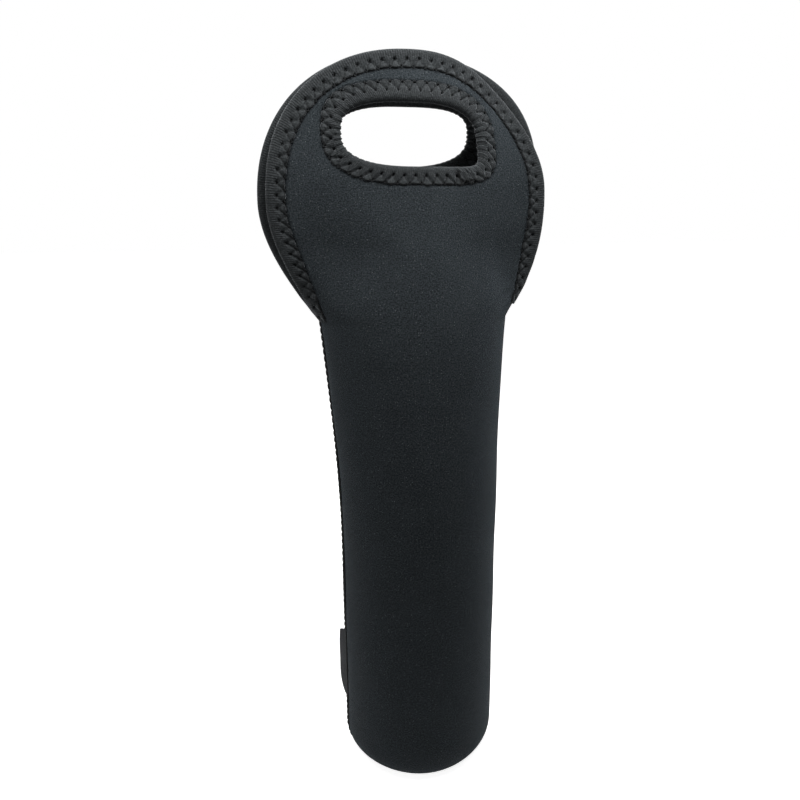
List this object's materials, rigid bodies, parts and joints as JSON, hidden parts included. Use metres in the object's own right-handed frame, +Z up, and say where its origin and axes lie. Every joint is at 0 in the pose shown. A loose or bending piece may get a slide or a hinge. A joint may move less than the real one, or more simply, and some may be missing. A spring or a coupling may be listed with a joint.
{
  "type": "bottle cooler sleeve",
  "caption": "Soft neoprene sleeve for a wine bottle, with a round base, an open mouth and tall round heads with bound hand holes.",
  "frame": {"origin": "on the floor, at the middle of the base", "axes": "+Z up along the bottle, -Y towards the front panel, -X towards the label"},
  "size_m": [0.138, 0.0816, 0.3623],
  "materials": {
    "neoprene": "matt black jersey over neoprene foam",
    "stretch_tape": "black ribbed stretch tape",
    "sewing_thread": "black sewing thread",
    "satin_label": "dark satin, bare"
  },
  "bodies": {
    "sleeve": {"front_sleeve_panel": "neoprene", "back_sleeve_panel": "neoprene", "seam_stitching": "sewing_thread"},
    "front_handle": {"front_handle_panel": "neoprene", "front_head_binding": "stretch_tape", "front_hole_binding": "stretch_tape", "front_head_stitching": "sewing_thread", "front_hole_stitching": "sewing_thread"},
    "back_handle": {"back_handle_panel": "neoprene", "back_head_binding": "stretch_tape", "back_hole_binding": "stretch_tape", "back_head_stitching": "sewing_thread", "back_hole_stitching": "sewing_thread"},
    "label": {"side_label": "satin_label"}
  },
  "joints": [
    {"name": "front_handle_fold", "type": "hinge", "parent": "sleeve", "child": "front_handle", "pos_m": [0, -0.03419, 0.243], "axis": [1, 0, 0], "range_deg": [0, 40]},
    {"name": "back_handle_fold", "type": "hinge", "parent": "sleeve", "child": "back_handle", "pos_m": [0, 0.03419, 0.243], "axis": [-1, 0, 0], "range_deg": [0, 40]},
    {"name": "label_fold", "type": "hinge", "parent": "sleeve", "child": "label", "pos_m": [-0.0412, 0, 0.055], "axis": [0, 0, 1], "range_deg": [0, 160]}
  ]
}
